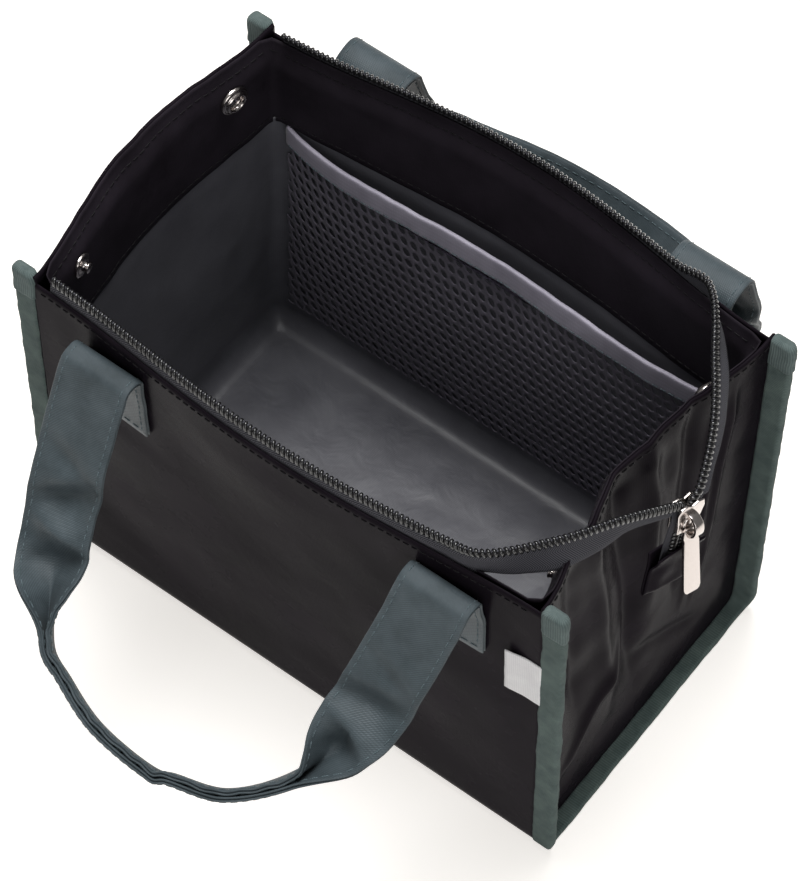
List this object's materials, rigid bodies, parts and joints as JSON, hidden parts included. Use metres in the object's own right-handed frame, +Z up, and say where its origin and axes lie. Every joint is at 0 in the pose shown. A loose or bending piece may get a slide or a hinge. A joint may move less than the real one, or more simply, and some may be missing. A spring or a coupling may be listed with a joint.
{
  "type": "insulated lunch bag",
  "caption": "Open-topped insulated cloth lunch bag with bound side seams, a zipped mouth with a free tail, strap handles folded at the grip, a mesh pocket and snap fasteners inside.",
  "frame": {"origin": "centre of the base, on the surface the bag stands on", "axes": "+X along the bag to the end with the zip's tail, -Y to the front, +Z up"},
  "size_m": [0.2888, 0.3572, 0.2142],
  "materials": {
    "outer_nylon": "plain woven nylon with a soft sheen",
    "facing_nylon": "plain woven nylon",
    "lining_cloth": "satin",
    "foam": "matt",
    "strap_cloth": "fine twill",
    "binding_tape": "ribbed",
    "zip_tape": "herringbone",
    "coil_plastic": "gloss",
    "nickel": "polished",
    "net_yarn": "open net",
    "pocket_tape": "ribbed",
    "label_cloth": "woven, blank"
  },
  "bodies": {
    "bag": {"outer_wrap": "outer_nylon", "side_panel_left": "outer_nylon", "side_panel_right": "outer_nylon", "foam_front": "foam", "foam_back": "foam", "foam_base": "foam", "foam_left": "foam", "foam_right": "foam", "lining_wrap": "lining_cloth", "lining_left": "lining_cloth", "lining_right": "lining_cloth", "facing_front": "facing_nylon", "facing_back": "facing_nylon", "facing_left": "facing_nylon", "facing_right": "facing_nylon", "binding_left": "binding_tape", "binding_right": "binding_tape", "mesh_pocket": "net_yarn", "mesh_pocket_binding": "pocket_tape", "zip_coil_front": "coil_plastic", "zip_coil_back": "coil_plastic", "zip_tape_front": "zip_tape", "zip_tape_back": "zip_tape", "zip_end_tab": "outer_nylon", "front_handle_tab_left": "strap_cloth", "front_handle_tab_right": "strap_cloth", "back_handle_tab_left": "strap_cloth", "back_handle_tab_right": "strap_cloth", "snap_socket_left": "nickel", "snap_socket_left_backing": "nickel", "snap_stud_left": "nickel", "snap_stud_left_backing": "nickel", "snap_socket_right": "nickel", "snap_socket_right_backing": "nickel", "snap_stud_right": "nickel", "snap_stud_right_backing": "nickel", "side_label": "label_cloth"},
    "front_handle": {"front_handle_strap": "strap_cloth"},
    "back_handle": {"back_handle_strap": "strap_cloth"},
    "zip_slider": {"zip_slider": "nickel"},
    "zip_pull": {"zip_pull": "nickel"}
  },
  "joints": [
    {"name": "front_handle_swing", "type": "hinge", "parent": "bag", "child": "front_handle", "pos_m": [0, -0.08613, 0.185], "axis": [-1, 0, 0], "range_deg": [-30, 150]},
    {"name": "back_handle_swing", "type": "hinge", "parent": "bag", "child": "back_handle", "pos_m": [0, 0.09667, 0.184], "axis": [1, 0, 0], "range_deg": [-12, 168]},
    {"name": "zip_slide", "type": "slide", "parent": "bag", "child": "zip_slider", "axis": [0, -0.2419, -0.9703], "range_m": [0, 0.01]},
    {"name": "zip_pull_swing", "type": "hinge", "parent": "zip_slider", "child": "zip_pull", "pos_m": [0.14228, -0.00171, 0.18623], "axis": [-0.2419, -0.9415, 0.2347], "range_deg": [-15, 150]}
  ]
}
